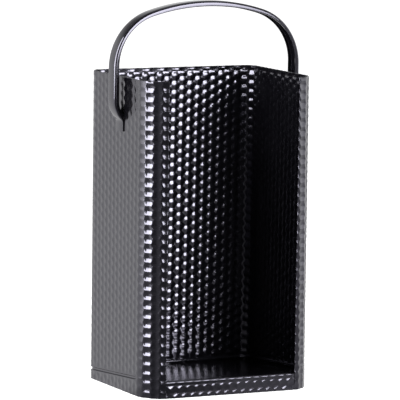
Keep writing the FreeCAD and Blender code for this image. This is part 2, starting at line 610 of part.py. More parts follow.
def channel_side(body):
    """Side view of the hollow under the strap: everything inside one sheet thickness of its outer face."""
    thick = size("strap_sheet")
    rim = size("height")
    wall = HALF_WIDTH + size("weld_gap")
    span = HALF_WIDTH + size("standoff") - thick
    top = rim + size("handle_rise") - thick
    crown_radius, shoulder_radius = size("crown_radius") - thick, size("shoulder_radius") - thick
    crown, shoulder, meet = arch_centres(span, top, crown_radius, shoulder_radius)
    bend = rim - size("leg_drop")
    reach = size("joggle_radius") - thick
    turn = math.degrees(math.acos((wall - span + reach) / reach))
    sketch = new_sketch(body, "channel_side", "XZ_Plane")
    path = Path(sketch)
    curve_left = path.arc((-span + reach, bend), reach, 180 + turn, 180)
    leg_left = path.line(None, (-span, shoulder[1]))
    left = path.arc((-shoulder[0], shoulder[1]), shoulder_radius, 180, 90 + meet)
    over = path.arc(crown, crown_radius, 90 + meet, 90 - meet)
    right = path.arc(shoulder, shoulder_radius, 90 - meet, 0)
    leg_right = path.line(None, (span, bend))
    curve_right = path.arc((span - reach, bend), reach, 0, -turn)
    across = path.line(None, polar((-span + reach, bend), reach, 180 + turn), smooth=False)
    path.close()
    for line in (leg_left, leg_right):
        sketch.addConstraint(Sketcher.Constraint("Vertical", line))
    less = "- sizes.strap_sheet"
    bind_arch(sketch, "channel", (left, over, right), (crown_radius, shoulder_radius),
              (f"sizes.crown_radius {less}", f"sizes.shoulder_radius {less}"), top,
              f"sizes.height + sizes.handle_rise {less}")
    sides = (("left", -1, leg_left, curve_left, 2), ("right", 1, leg_right, curve_right, 1))
    for side, sign, leg, curve, end in sides:
        rule = f"{sign} * (sizes.width / 2 + sizes.standoff {less})"
        bind(sketch, f"{side}_leg", rule, "DistanceX", leg, 1, sign * span)
        bind(sketch, f"{side}_joggle", f"sizes.joggle_radius {less}", "Radius", curve, reach)
        bind(sketch, f"{side}_bend", "sizes.height - sizes.leg_drop", "DistanceY", curve, 3, bend)
        rule = f"{sign} * (sizes.width / 2 + sizes.weld_gap)"
        bind(sketch, f"{side}_end", rule, "DistanceX", across, end, sign * wall)
    return sketch


def make_handle():
    """The channel strap: a solid strap, rounded along its outer edges, then hollowed from inside."""
    body = new_body("handle")
    body.Placement = Placement(Vector(0, -size("strap_forward"), 0), Rotation())
    body.setExpression("Placement.Base.y", "-sizes.strap_forward")
    strap = feature(body, "Pad", "strap", strap_side(body), Length="sizes.strap_width")
    strap.Midplane = True
    doc.recompute()

    # Both long edges of the outer face, from one tab's foot to the other's
    half = size("strap_width") / 2
    rounding = feature(body, "Fillet", "outer_rounding", Radius="sizes.strap_sheet - 2 * sizes.fold_flat")
    rounding.Base = (strap, edge_names(strap.Shape, lambda e: on_outer_face(e, half)))
    doc.recompute()
    hollow = feature(body, "Pocket", "channel", channel_side(body))
    hollow.Midplane = True
    hollow.setExpression("Length", "sizes.strap_width - 2 * sizes.strap_sheet")
    return body


def on_outer_face(edge, half):
    """True for an edge of the strap's outer face that runs along one of its two sides."""
    box = edge.BoundBox
    if box.YMax - box.YMin > TOUCH or abs(abs(box.YMin) - half) > TOUCH:
        return False
    middle = edge.valueAt((edge.FirstParameter + edge.LastParameter) / 2)
    if abs(middle.z - box.ZMax) < TOUCH and edge.Length < size("leg_depth"):
        return False
    return outside_middle(middle)


def outside_middle(point):
    """True for a point outside the line that runs midway between the outer face and the flange edges."""
    span = HALF_WIDTH + size("standoff") - size("leg_depth") / 2
    top = size("height") + size("handle_rise") - size("grip_depth") / 2
    crown_radius = (size("crown_radius") + size("inner_crown_radius")) / 2
    radius = (size("shoulder_radius") + size("inner_shoulder_radius")) / 2
    crown, shoulder, meet = arch_centres(span, top, crown_radius, radius)
    if point.z > shoulder[1]:
        if math.degrees(math.atan2(abs(point.x), point.z - crown[1])) < meet:
            return math.hypot(point.x, point.z - crown[1]) > crown_radius
        return math.hypot(abs(point.x) - shoulder[0], point.z - shoulder[1]) > radius
    reach = (size("joggle_radius") + size("joggle_inner_radius")) / 2
    bend = size("height") - (size("leg_drop") + size("flange_drop")) / 2
    if point.z > bend:
        return abs(point.x) > span
    tab = HALF_WIDTH + size("weld_gap") + size("strap_sheet") / 2
    curve = span - reach + math.sqrt(max(reach ** 2 - (point.z - bend) ** 2, 0))
    return abs(point.x) > max(curve, tab)


pieces = [make_shell(), make_lip(), make_floor_pan(), make_handle()]
doc.recompute()

# Every object has to be sound before anything is written
for item in doc.Objects:
    if "Invalid" in item.State or "Error" in item.State:
        raise RuntimeError(f"{item.Label} did not build: {item.State}")
for piece in pieces:
    if piece.Shape.isNull() or not piece.Shape.isValid() or len(piece.Shape.Solids) != 1:
        raise RuntimeError(f"{piece.Label} is not one sound solid")

os.makedirs("parts", exist_ok=True)
for piece in pieces:
    piece.Shape.exportStep(f"parts/{piece.Label}.step")
    print(f"{piece.Label}: volume {piece.Shape.Volume:.0f} mm3, faces {len(piece.Shape.Faces)}")
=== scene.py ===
"""Looks of the briquette carrier: embossed black lacquered sheet, smooth floor and handle, plain pale studio.

Lengths are metres in the part's own frame: +Z up, the open front faces -Y, the origin on the ground.
The two embossed sheets are meshed flat, in lengths along the sheet, and wrapped round the box.
"""

import math

import bpy
import numpy as np
from mathutils import Matrix, Vector


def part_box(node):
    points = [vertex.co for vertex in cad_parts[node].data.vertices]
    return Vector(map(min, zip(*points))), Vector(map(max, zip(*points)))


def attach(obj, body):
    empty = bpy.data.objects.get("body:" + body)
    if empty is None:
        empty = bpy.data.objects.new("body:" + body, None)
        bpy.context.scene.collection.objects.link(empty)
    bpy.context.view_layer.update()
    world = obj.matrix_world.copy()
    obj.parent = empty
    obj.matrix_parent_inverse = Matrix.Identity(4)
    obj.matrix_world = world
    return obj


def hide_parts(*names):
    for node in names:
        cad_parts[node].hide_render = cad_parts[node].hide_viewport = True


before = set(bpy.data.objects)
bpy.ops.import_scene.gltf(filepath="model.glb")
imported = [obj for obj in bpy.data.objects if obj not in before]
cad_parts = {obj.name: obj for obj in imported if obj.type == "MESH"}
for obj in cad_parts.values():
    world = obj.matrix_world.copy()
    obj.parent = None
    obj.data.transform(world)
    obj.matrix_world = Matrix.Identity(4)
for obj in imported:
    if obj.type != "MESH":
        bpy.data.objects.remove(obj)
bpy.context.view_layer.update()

# Units and turns, and the length under which two places count as one
MM = 0.001
HALF_TURN = math.pi
QUARTER_TURN = math.pi / 2
TOUCH = 1e-9

# Boxes of the solids
SHELL_LOW, SHELL_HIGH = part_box("shell")
_, LIP_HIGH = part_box("front_lip")
HANDLE_LOW, HANDLE_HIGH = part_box("handle")

# Box: the same driving sizes as the solids
HALF_WIDTH = SHELL_HIGH.x
BACK = SHELL_HIGH.y
FRONT = SHELL_LOW.y
RIM = SHELL_HIGH.z
SHEET = 1.0 * MM
GAP = 0.1 * MM
BACK_RADIUS = 14.0 * MM
FRONT_RADIUS = 30.0 * MM
RETURN_TURN = math.radians(75)
FRONT_CENTRE_X = HALF_WIDTH - FRONT_RADIUS
FRONT_CENTRE_Y = FRONT + FRONT_RADIUS * math.sin(RETURN_TURN)
HEM = 5.0 * MM

# Bead pressed in over the floor, falling to the back
FALL = math.tan(math.radians(3.8))
BEAD_BACK_HEIGHT = 11.0 * MM
BEAD_RADIUS = 1.6 * MM
BEAD_END_Y = FRONT + 33.0 * MM
BEAD_CLEAR_FROM = 2.2 * MM
BEAD_CLEAR_TO = 4.5 * MM

# Embossing: domes on a six-sided lattice, hollow outside and raised inside
COLUMN_PITCH = 9.007 * MM
ROLL_PITCH = 10.4 * MM
CELL_PITCH = 10.14 * MM
FIRST_COLUMN = 22.5 * MM
FIRST_CELL = 30.4 * MM
COLUMNS_PER_SIDE = 14.65
CORNER_SHIFT = 0.5
ROW_FALL = 0.0125
DOME_REACH = 6.0 * MM
DOME_HEIGHT = 1.35 * MM
CREASE_SOFTNESS = 0.08
HALF_STEP = 0.5
NEAR_COLUMNS = (-1, 0, 1, 2)
NEAR_CELLS = (0, 1)
ROLL_RELIEF = 1.0
WALL_RELIEF = 0.4
ROLL_RELIEF_TO = 24.5 * MM
WALL_RELIEF_FROM = 28.5 * MM
HEM_SQUASH = 0.55
HEM_EASE = 2.0 * MM
FOLD_WAVE = 0.3

# Lip: its lattice lies on its side
LIP_PITCH = 10.05 * MM
LIP_ROW_PITCH = 8.9 * MM
LIP_FIRST_ROW = 7.0 * MM
LIP_FIRST_CELL = 6.9 * MM
LIP_RELIEF = 0.85
LIP_TUCK = math.radians(22)
LIP_FADE_FROM = 3.5 * MM
LIP_FADE_TO = 1.5 * MM
LIP_TOP_RELIEF = 0.5
LIP_TOP_ROUND = 1.0 * MM

# Fineness of the two embossed meshes
COLUMNS_PER_CELL = 6
FINE_CELLS = 3
FINE_STEP = 0.5
ROWS_PER_CELL = 8
EDGE_EASE = 0.25 * MM
EDGE_COLUMNS = 3
FOLD_STEPS = 8
ROWS_UNDER_BEAD = 8
ROWS_OVER_BEAD = 14
BEAD_ROW_STEPS = np.array([0.5, 1.0, 1.5, 1.8, 2.3, 2.9]) * MM
BEAD_ROWS = np.concatenate([-BEAD_ROW_STEPS[::-1], [0.0], BEAD_ROW_STEPS])
EVEN_ROWS_FROM_CELL = 1.5
EVEN_ROWS_FROM = FIRST_CELL + EVEN_ROWS_FROM_CELL * CELL_PITCH
LEAST_ROW_SHARE = 0.3
LIP_ROWS = 2 * ROWS_PER_CELL + 2
LIP_TOP_STEPS = 14

# Floor pan: a folded tray under the bead
PAN_SHEET = 1.0 * MM
PAN_BEND = 2.0 * MM
PAN_CORNER_EASE = 2.0 * MM
PAN_FRONT_PLAY = 0.9 * MM
PAN_FOOT = 1.0 * MM
BEND_STEPS = 5
CORNER_STEPS = 12

# Handle: a pressed channel strap
STRAP_WIDTH = HANDLE_HIGH.y - HANDLE_LOW.y
STRAP_MIDDLE = (HANDLE_HIGH.y + HANDLE_LOW.y) / 2
STRAP_SHEET = 1.2 * MM
STRAP_ROUND = 2.6 * MM
TAB_ROUND = 0.6 * MM
LEAST_ROUND = 0.05 * MM
ROUND_CLEAR = 1.0 * MM
CROWN_RADIUS = 221.0 * MM
SHOULDER_RADIUS = 64.0 * MM
GRIP_DEPTH = 5.9 * MM
LEG_DEPTH = 5.4 * MM
INNER_CROWN_RADIUS = 233.5 * MM
INNER_SHOULDER_RADIUS = 55.4 * MM
LEG_DROP = 26.4 * MM
JOGGLE_RADIUS = 28.0 * MM
TAB_BEND = 4.0 * MM
ROUND_STEPS = 6
STATION_STEP = 3.0 * MM
LEAST_STATIONS = 2

# Turns that show as sharp edges
EMBOSSED_SHARP = math.radians(50)
SMOOTH_SHARP = math.radians(40)

# Lacquer: each noise has a scale and a level of detail
LACQUER_DARK = (0.0014, 0.0013, 0.0019, 1.0)
LACQUER_LIGHT = (0.0030, 0.0029, 0.0038, 1.0)
LACQUER_IOR = 1.66
LACQUER_TINT = (0.85, 0.83, 1.0, 1.0)
CLOUD_NOISE = (38.0, 4.0)
GLOSS_NOISE = (110.0, 3.0)
PEEL_NOISE = (620.0, 2.0)
PEEL_DEPTH = 0.05 * MM
NOISE_LOW = 0.3
NOISE_HIGH = 0.7

# Studio: a white backdrop behind the object and a dim room before it
WHITE = (1.0, 1.0, 1.0, 1.0)
BACKDROP_AIM = Vector((0.35, 0.937, 0.0))
BACKDROP_EDGE = -0.15
BACKDROP_BLUR = 0.12
BACKDROP_TOP = 0.2
BACKDROP_FADED = 0.55
# Brightness of the room before the object, from its left (0) round the camera to its right (1)
ROOM_STOPS = ((0.10, 0.33), (0.125, 0.06), (0.475, 0.06), (0.6, 0.58), (0.82, 0.58), (0.9, 0.44))
ROOM_LIGHT = 0.22
FLOOR_REACH = 14.0
FLOOR_COLOR = (0.55, 0.55, 0.55, 1.0)
# Floor paint as reflections see it: near black, a painted shade, so that the lacquer mirrors the floor's glow
# and not the lamps' light on it
FLOOR_REFLECTED = (0.05, 0.05, 0.05, 1.0)
FLOOR_GLOW = 0.80
FLOOR_FAR_GLOW = 1.0
SHADOW_REACH = 0.3
GLOW_REACH = 1.6
DARK_FLOOR_FROM = -0.14
PALE_FLOOR_FROM = -0.02

# Lamps: a box and two cards at the left, a box with a grid before the open front, a dim card at the right
LAMPS = (
    dict(name="left_box", place=(-3.0, 0.10, 1.5), aim=(0.0, 0.0, 1.5),
         wide=2.10, high=2.90, glow=16.0),
    dict(name="left_low_card", place=(-0.36, 0.06, 0.2), aim=(-0.1, -0.05, 0.2),
         wide=0.16, high=0.38, glow=1.6),
    dict(name="left_card", place=(-2.6, 1.3, 1.2), aim=(0.0, 0.0, 1.2),
         wide=1.9, high=2.4, glow=1.2),
    dict(name="front_box", place=(0.49, -1.83, 0.60), aim=(0.0, 0.0, 0.1),
         wide=1.20, high=0.70, glow=2.5, lean=math.radians(16), beam=math.radians(60)),
    dict(name="right_card", place=(1.8, -0.5, 0.6), aim=(0.0, 0.0, 0.2),
         wide=1.6, high=1.6, glow=1.0),
)

# Camera of the photograph, in a picture of 400 by 400
PICTURE = 400
FOCAL_PIXELS = 3715.3
CAMERA_TURN = math.radians(25.756)
CAMERA_TILT = math.radians(7.152)
CAMERA_ROLL = math.radians(0.752)
CAMERA_DISTANCE = 4.0323
CAMERA_HEIGHT = 0.7085
CAMERA_ASIDE = -1.62 * MM
CAMERA_SIGHT = 60.0
SENSOR = 36.0


# Sheets in plan: a path is a list of stretches, each with its length and what gives its points


def arc(centre, radius, begin, end, facing=1):
    """A round stretch between two angles, facing away from its centre, or toward it with facing -1."""
    def at(share):
        angle = begin + (end - begin) * share
        radial = np.hstack([np.cos(angle), np.sin(angle)])
        return np.array(centre) + radius * radial, facing * radial

    return radius * abs(end - begin), at


def line(begin, end):
    """A straight stretch, facing to the left of its run."""
    length = math.dist(begin, end)
    start = np.array(begin)
    run = np.array(end) - start
    left = np.array((-run[1], run[0])) / length

    def at(share):
        return start + run * share, left

    return length, at


def lengths_of(path):
    """Lengths of a path's stretches."""
    return [reach for reach, _ in path]


def along(path, places):
    """Points of a path at lengths along it, with the directions that face out of the sheet."""
    points = np.zeros((len(places), 2))
    outward = np.zeros((len(places), 2))
    start = 0.0
    for reach, at in path:
        # What lies past the end of this stretch is set again by the next one
        onward = places >= start - TOUCH
        share = (places[onward] - start) / reach
        points[onward], outward[onward] = at(share[:, None])
        start += reach
    return points, outward


def shell_path():
    """Outer face of the shell, from the left free edge round the back to the right one."""
    turn_x = HALF_WIDTH - BACK_RADIUS
    turn_y = BACK - BACK_RADIUS
    return [
        arc((-FRONT_CENTRE_X, FRONT_CENTRE_Y), FRONT_RADIUS, HALF_TURN + RETURN_TURN, HALF_TURN),
        line((-HALF_WIDTH, FRONT_CENTRE_Y), (-HALF_WIDTH, turn_y)),
        arc((-turn_x, turn_y), BACK_RADIUS, HALF_TURN, QUARTER_TURN),
        line((-turn_x, BACK), (turn_x, BACK)),
        arc((turn_x, turn_y), BACK_RADIUS, QUARTER_TURN, 0.0),
        line((HALF_WIDTH, turn_y), (HALF_WIDTH, FRONT_CENTRE_Y)),
        arc((FRONT_CENTRE_X, FRONT_CENTRE_Y), FRONT_RADIUS, 0.0, -RETURN_TURN),
    ]


def lip_path():
    """Outer face of the lip, from the right end to the left one, so that it faces out as the shell does."""
    radius = FRONT_RADIUS - SHEET - GAP
    down = HALF_TURN + QUARTER_TURN
    turn = QUARTER_TURN - (RETURN_TURN - LIP_TUCK)
    face = FRONT_CENTRE_Y - radius
    return [
        arc((FRONT_CENTRE_X, FRONT_CENTRE_Y), radius, down + turn, down),
        line((FRONT_CENTRE_X, face), (-FRONT_CENTRE_X, face)),
        arc((-FRONT_CENTRE_X, FRONT_CENTRE_Y), radius, down, down - turn),
    ]


# Embossing


def smooth_step(value, low, high, before=0.0, after=1.0):
    """One number below low, another above high, and a smooth way between them."""
    share = np.clip((value - low) / (high - low), 0, 1)
    return before + (after - before) * share * share * (3 - 2 * share)


def from_ends(across, length):
    """How far places along a sheet lie from its nearer end."""
    return np.minimum(across, length - across)


def domes(across, up, pitch_across, pitch_up):
    """Height, 0 to 1, of closely packed domes: columns across, every other one half a step up.

    Both places are counted in steps of the lattice from the middle of one dome.
    """
    column = np.floor(across)
    total = 0.0
    for near in NEAR_COLUMNS:
        number = column + near
        aside = (across - number) * pitch_across
        level = up - HALF_STEP * (number % 2)
        below = np.floor(level)
        for step in NEAR_CELLS:
            rise = (level - below - step) * pitch_up
            cap = 1 - (aside ** 2 + rise ** 2) / DOME_REACH ** 2
            total = total + np.exp(cap / CREASE_SOFTNESS)
    return np.maximum(CREASE_SOFTNESS * np.log(total), 0)


def column_knots():
    """Lengths along the shell where its columns change pitch, and the column numbers there."""
    lengths = lengths_of(shell_path())
    roll = lengths[0]
    side = lengths[1] + lengths[2]
    half_back = lengths[3] / 2
    places = np.cumsum([0.0, roll, side, half_back, half_back, side, roll])
    on_roll = roll / ROLL_PITCH
    on_half = half_back / COLUMN_PITCH
    left = [on_roll, COLUMNS_PER_SIDE, on_half]
    right = [on_half - CORNER_SHIFT, COLUMNS_PER_SIDE + CORNER_SHIFT, on_roll]
    numbers = np.cumsum([-FIRST_COLUMN / ROLL_PITCH] + left + right)
    return places, numbers


def shell_domes(across, up):
    """Dome height on the shell at lengths along the sheet, the rows falling a little along it."""
    places, numbers = column_knots()
    turned = np.interp(across, places[1:3], (0.0, ROW_FALL))
    column = np.interp(across, places, numbers) - turned * (up - RIM / 2) / COLUMN_PITCH
    row = (up - FIRST_CELL + ROW_FALL * (across - FIRST_COLUMN)) / CELL_PITCH
    edge = from_ends(across, places[-1])
    pitch = np.interp(edge, (WALL_RELIEF_FROM, places[1]), (ROLL_PITCH, COLUMN_PITCH))
    return domes(column, row, pitch, CELL_PITCH)


def lip_domes(across, up):
    """Dome height on the lip, whose lattice lies on its side."""
    row = (up - LIP_FIRST_ROW) / LIP_ROW_PITCH
    return domes(row, (across - LIP_FIRST_CELL) / LIP_PITCH, LIP_ROW_PITCH, LIP_PITCH)


# Meshes


def new_piece(name, points, faces, body, node, material, sharp_turn):
    """A shown piece that stands for a solid, smooth apart from edges sharper than a turn."""
    mesh = bpy.data.meshes.new(name)
    mesh.from_pydata(points.tolist(), [], faces)
    mesh.validate()
    piece = bpy.data.objects.new(name, mesh)
    bpy.context.scene.collection.objects.link(piece)
    for polygon in mesh.polygons:
        polygon.use_smooth = True
    mesh.set_sharp_from_angle(angle=sharp_turn)
    mesh.materials.append(material)
    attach(piece, body)
    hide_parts(node)


def bend_profile(start, radius, steps):
    """Quarter round of a bend in a folded sheet: distances in from each of the two faces that it joins."""
    angles = np.linspace(0, QUARTER_TURN, steps + 1)
    return start + radius * (1 - np.column_stack([np.cos(angles), np.sin(angles)]))


def ring_faces(ring, onto, around):
    """Four-sided faces from one closed ring of points to another, given by their numbers."""
    faces = []
    for place in range(around):
        onward = (place + 1) % around
        faces.append((ring * around + place, ring * around + onward,
                      onto * around + onward, onto * around + place))
    return faces


def ring_cap(ring, around):
    """One face across a closed ring of points."""
    return tuple(range(ring * around, (ring + 1) * around))


def wrapped(path, columns, offsets, heights):
    """Points of a sheet: one row of points for each row of offsets from the outer face and of heights."""
    points, outward = along(path, columns)
    rows = []
    for offset, height in zip(offsets, heights):
        plan = points - outward * offset[:, None]
        rows.append(np.column_stack([plan, height]))
    return np.array(rows)


def grid_faces(rows, columns):
    """Four-sided faces of a closed strip of rows, wound to face out."""
    faces = []
    for row in range(rows):
        lower = row * columns
        upper = (row + 1) % rows * columns
        for column in range(columns - 1):
            faces.append((lower + column, upper + column, upper + column + 1, lower + column + 1))
    return faces


def end_caps(rows, columns, rungs):
    """Cut edges of a sheet at both ends: a ladder up the wall and one face across what is above it."""
    ladder = []
    for row in range(rungs):
        partner = rows - 1 - row
        ladder.append((row, row + 1, partner - 1, partner))
    ladder.append(tuple(range(rungs, rows - rungs)))
    faces = []
    for column, flip in ((0, False), (columns - 1, True)):
        for face in ladder:
            corners = [row * columns + column for row in face]
            faces.append(tuple(corners if flip else reversed(corners)))
    return faces


def new_sheet(name, path, columns, offsets, heights, rungs, node, material):
    """An embossed sheet from the rows of its faces, wrapped along a path, with its ends closed."""
    points = wrapped(path, columns, offsets, heights)
    rows = len(points)
    across = len(columns)
    faces = grid_faces(rows, across) + end_caps(rows, across, rungs)
    new_piece(name, points.reshape(-1, 3), faces, "root", node, material, EMBOSSED_SHARP)


def lattice_columns(places, numbers):
    """Places along a sheet in step with its lattice, twice as many in its end cells, and eased edges."""
    low = math.ceil(numbers[0] * COLUMNS_PER_CELL)
    high = math.floor(numbers[-1] * COLUMNS_PER_CELL)
    steps = np.arange(low, high, FINE_STEP)
    fine = np.minimum(steps - low, high - steps) < FINE_CELLS * COLUMNS_PER_CELL
    steps = steps[fine | (steps % 1 == 0)]
    inner = np.interp(steps / COLUMNS_PER_CELL, numbers, places)
    length = places[-1]
    inner = inner[from_ends(inner, length) > EDGE_EASE * EDGE_COLUMNS]
    ends = EDGE_EASE * np.arange(EDGE_COLUMNS)
    return np.concatenate([ends, inner, length - ends[::-1]])


def end_ease(columns):
    """How far both faces of a sheet draw in at each column: a little at its two ends, else nothing."""
    return EDGE_EASE * (from_ends(columns, columns[-1]) < EDGE_EASE / 2)


def bead_height(path, columns):
    """Height of the bead's middle at each column, and how far each column lies past the bead's ends."""
    points, _ = along(path, columns)
    height = BEAD_BACK_HEIGHT + (BACK - points[:, 1]) * FALL
    past = np.maximum(BEAD_END_Y - points[:, 1], 0)
    return height, past


def shell_rows(middle):
    """Heights of the rows of the shell's wall at each column: close by the bead, even above it."""
    low = middle + BEAD_ROWS[0]
    high = middle + BEAD_ROWS[-1]
    rows = [low * share for share in np.linspace(0, 1, ROWS_UNDER_BEAD, endpoint=False)]
    rows += [middle + lift for lift in BEAD_ROWS[:-1]]
    for share in np.linspace(0, 1, ROWS_OVER_BEAD, endpoint=False):
        rows.append(high + (EVEN_ROWS_FROM - high) * share)
    step = CELL_PITCH / ROWS_PER_CELL
    hem_foot = RIM - HEM
    count = int((hem_foot - EVEN_ROWS_FROM) / step)
    rows += [np.full_like(middle, EVEN_ROWS_FROM + step * number) for number in range(count + 1)]
    if hem_foot - rows[-1][0] < LEAST_ROW_SHARE * step:
        rows.pop()
    hem_rows = int((HEM - SHEET) / step) + 1
    for share in np.linspace(0, 1, hem_rows + 1):
        rows.append(np.full_like(middle, hem_foot + (HEM - SHEET) * share))
    return np.array(rows), hem_rows


def make_shell(material):
    """The wrapped sheet, embossed all over, with its hem folded in over the rim and its bead."""
    path = shell_path()
    columns = lattice_columns(*column_knots())
    middle, past = bead_height(path, columns)
    wall, hem_rows = shell_rows(middle)
    hem_foot = len(wall) - 1 - hem_rows
    ease = end_ease(columns)

    away = np.hypot((wall - middle) / math.hypot(1, FALL), past)
    clear = smooth_step(away, BEAD_CLEAR_FROM, BEAD_CLEAR_TO)
    squash = smooth_step(wall, RIM - HEM - HEM_EASE, RIM - HEM, 1.0, HEM_SQUASH)
    emboss = DOME_HEIGHT * clear * squash * shell_domes(np.broadcast_to(columns, wall.shape), wall)
    groove = np.sqrt(np.maximum(BEAD_RADIUS ** 2 - away ** 2, 0))
    ridge = np.sqrt(np.maximum((BEAD_RADIUS + SHEET) ** 2 - away ** 2, SHEET ** 2)) - SHEET

    # Outer face, its hollows shallower on the walls than on the rolled edges
    edge = from_ends(columns, columns[-1])
    relief = smooth_step(edge, ROLL_RELIEF_TO, WALL_RELIEF_FROM, ROLL_RELIEF, WALL_RELIEF)
    offsets = list(emboss * relief + groove + ease)
    heights = list(wall)
    # Fold over the rim
    for step in range(1, FOLD_STEPS):
        angle = HALF_TURN * step / FOLD_STEPS
        wave = FOLD_WAVE * DOME_HEIGHT * shell_domes(columns, RIM - SHEET + SHEET * angle)
        radius = SHEET - wave - ease
        offsets.append(SHEET - radius * math.cos(angle))
        heights.append(RIM - SHEET + radius * math.sin(angle))
    # Folded sheet: its hollows now face into the box
    for height in wall[hem_foot:][::-1]:
        run = 2 * (RIM - SHEET) - height + HALF_TURN * SHEET
        hollow = HEM_SQUASH * DOME_HEIGHT * shell_domes(columns, run)
        offsets.append(2 * SHEET - hollow - ease)
        heights.append(height)
    # Inner face, from under the fold to the foot
    offsets += list((SHEET + emboss + ridge - ease)[hem_foot::-1])
    heights += list(wall[hem_foot::-1])
    new_sheet("shell_sheet", path, columns, offsets, heights, hem_foot, "shell", material)


def make_lip(material):
    """The embossed strip across the foot of the front, with a round top."""
    path = lip_path()
    length = sum(lengths_of(path))
    columns = lattice_columns((0.0, length), (0.0, length / LIP_PITCH))
    ease = end_ease(columns)
    top = LIP_HIGH.z
    round_foot = top - LIP_TOP_ROUND
    levels = np.linspace(0, round_foot, LIP_ROWS)
    wall = np.broadcast_to(levels[:, None], (LIP_ROWS, len(columns)))
    relief = LIP_RELIEF * smooth_step(wall, top - LIP_FADE_FROM, top - LIP_FADE_TO, 1.0, LIP_TOP_RELIEF)
    emboss = DOME_HEIGHT * relief * lip_domes(columns - length / 2, wall)
    offsets = list(emboss + ease)
    heights = list(wall)
    half = SHEET / 2
    for step in range(1, LIP_TOP_STEPS):
        angle = HALF_TURN * step / LIP_TOP_STEPS
        offsets.append(emboss[-1] + half - (half - ease) * math.cos(angle))
        heights.append(round_foot + (LIP_TOP_ROUND - ease) * math.sin(angle))
    offsets += list((SHEET + emboss - ease)[::-1])
    heights += list(wall[::-1])
    new_sheet("lip_sheet", path, columns, offsets, heights, LIP_ROWS - 1, "front_lip", material)


# Floor pan


def pan_outline(inset):
    """Plan of the tray, drawn in from its outside."""
    lap = SHEET + GAP
    side = HALF_WIDTH - lap - inset
    back = BACK - lap - inset
    front = FRONT_CENTRE_Y - FRONT_RADIUS + 2 * lap + PAN_FRONT_PLAY + inset
    back_round = BACK_RADIUS - lap - inset
    front_round = FRONT_RADIUS + PAN_CORNER_EASE - inset
    corners = (
        (side - back_round, back - back_round, back_round),
        (back_round - side, back - back_round, back_round),
        (front_round - side, front + front_round, front_round),
        (side - front_round, front + front_round, front_round),
    )
    points = []
    for quarter, (x, y, radius) in enumerate(corners):
        for step in range(CORNER_STEPS + 1):
            angle = QUARTER_TURN * (quarter + step / CORNER_STEPS)
            points.append((x + radius * math.cos(angle), y + radius * math.sin(angle)))
    return np.array(points)


def pan_foot(inset):
    """Ring of points round the foot of the tray's flanges."""
    plan = pan_outline(inset)
    return np.column_stack([plan, np.full(len(plan), PAN_FOOT)])


def pan_ring(inset, depth):
    """Ring of points round the tray at a depth under its sloping top."""
    plan = pan_outline(inset)
    level = BEAD_BACK_HEIGHT + BACK * FALL - BEAD_RADIUS - SHEET
    return np.column_stack([plan, level - plan[:, 1] * FALL - depth])


def make_pan(material):
    """The tray with rounded bends, its top falling to the back."""
    outer = bend_profile(0.0, PAN_BEND, BEND_STEPS)
    inner = bend_profile(PAN_SHEET, PAN_BEND - PAN_SHEET, BEND_STEPS)
    rings = [pan_foot(0.0)]
    rings += [pan_ring(inset, depth) for inset, depth in (*outer, *inner[::-1])]
    rings.append(pan_foot(PAN_SHEET))
    count = len(rings)
    around = len(rings[0])
    top = BEND_STEPS + 1
    faces = []
    for ring in range(count):
        if ring != top:
            faces += ring_faces(ring, (ring + 1) % count, around)
    faces.append(ring_cap(top, around))
    faces.append(ring_cap(top + 1, around)[::-1])
    points = np.concatenate(rings)
    new_piece("floor_tray", points, faces, "root", "floor_pan", material, SMOOTH_SHARP)


# Handle


def arch(span, top, crown, shoulder):
    """Middle of an arch's right shoulder, and the angle from the vertical where it meets the crown."""
    meet = math.asin((span - shoulder) / (crown - shoulder))
    return span - shoulder, top - crown + (crown - shoulder) * math.cos(meet), meet


def strap_path():
    """Outer face of the handle in side view, from the left tab over the top to the right one."""
    span = HANDLE_HIGH.x
    top = HANDLE_HIGH.z
    foot = HANDLE_LOW.z
    tab = HALF_WIDTH + GAP + STRAP_SHEET
    shoulder_x, shoulder_z, meet = arch(span, top, CROWN_RADIUS, SHOULDER_RADIUS)
    bend = RIM - LEG_DROP
    bend_x = span - JOGGLE_RADIUS
    both = JOGGLE_RADIUS + TAB_BEND
    turn = math.acos((tab + TAB_BEND - bend_x) / both)
    tab_top = bend - both * math.sin(turn)
    return [
        line((-tab, foot), (-tab, tab_top)),
        arc((-tab - TAB_BEND, tab_top), TAB_BEND, 0.0, turn, facing=-1),
        arc((-bend_x, bend), JOGGLE_RADIUS, HALF_TURN + turn, HALF_TURN),
        line((-span, bend), (-span, shoulder_z)),
        arc((-shoulder_x, shoulder_z), SHOULDER_RADIUS, HALF_TURN, QUARTER_TURN + meet),
        arc((0.0, top - CROWN_RADIUS), CROWN_RADIUS, QUARTER_TURN + meet, QUARTER_TURN - meet),
        arc((shoulder_x, shoulder_z), SHOULDER_RADIUS, QUARTER_TURN - meet, 0.0),
        line((span, shoulder_z), (span, bend)),
        arc((bend_x, bend), JOGGLE_RADIUS, 0.0, -turn),
        arc((tab + TAB_BEND, tab_top), TAB_BEND, HALF_TURN - turn, HALF_TURN, facing=-1),
        line((tab, tab_top), (tab, foot)),
    ]


def reach_of_circle(point, inward, centre, radius):
    """How far a point outside a circle lies from it along a direction."""
    apart = np.subtract(point, centre)
    nearest = -apart @ inward
    return nearest - math.sqrt(max(radius ** 2 - apart @ apart + nearest ** 2, 0.0))


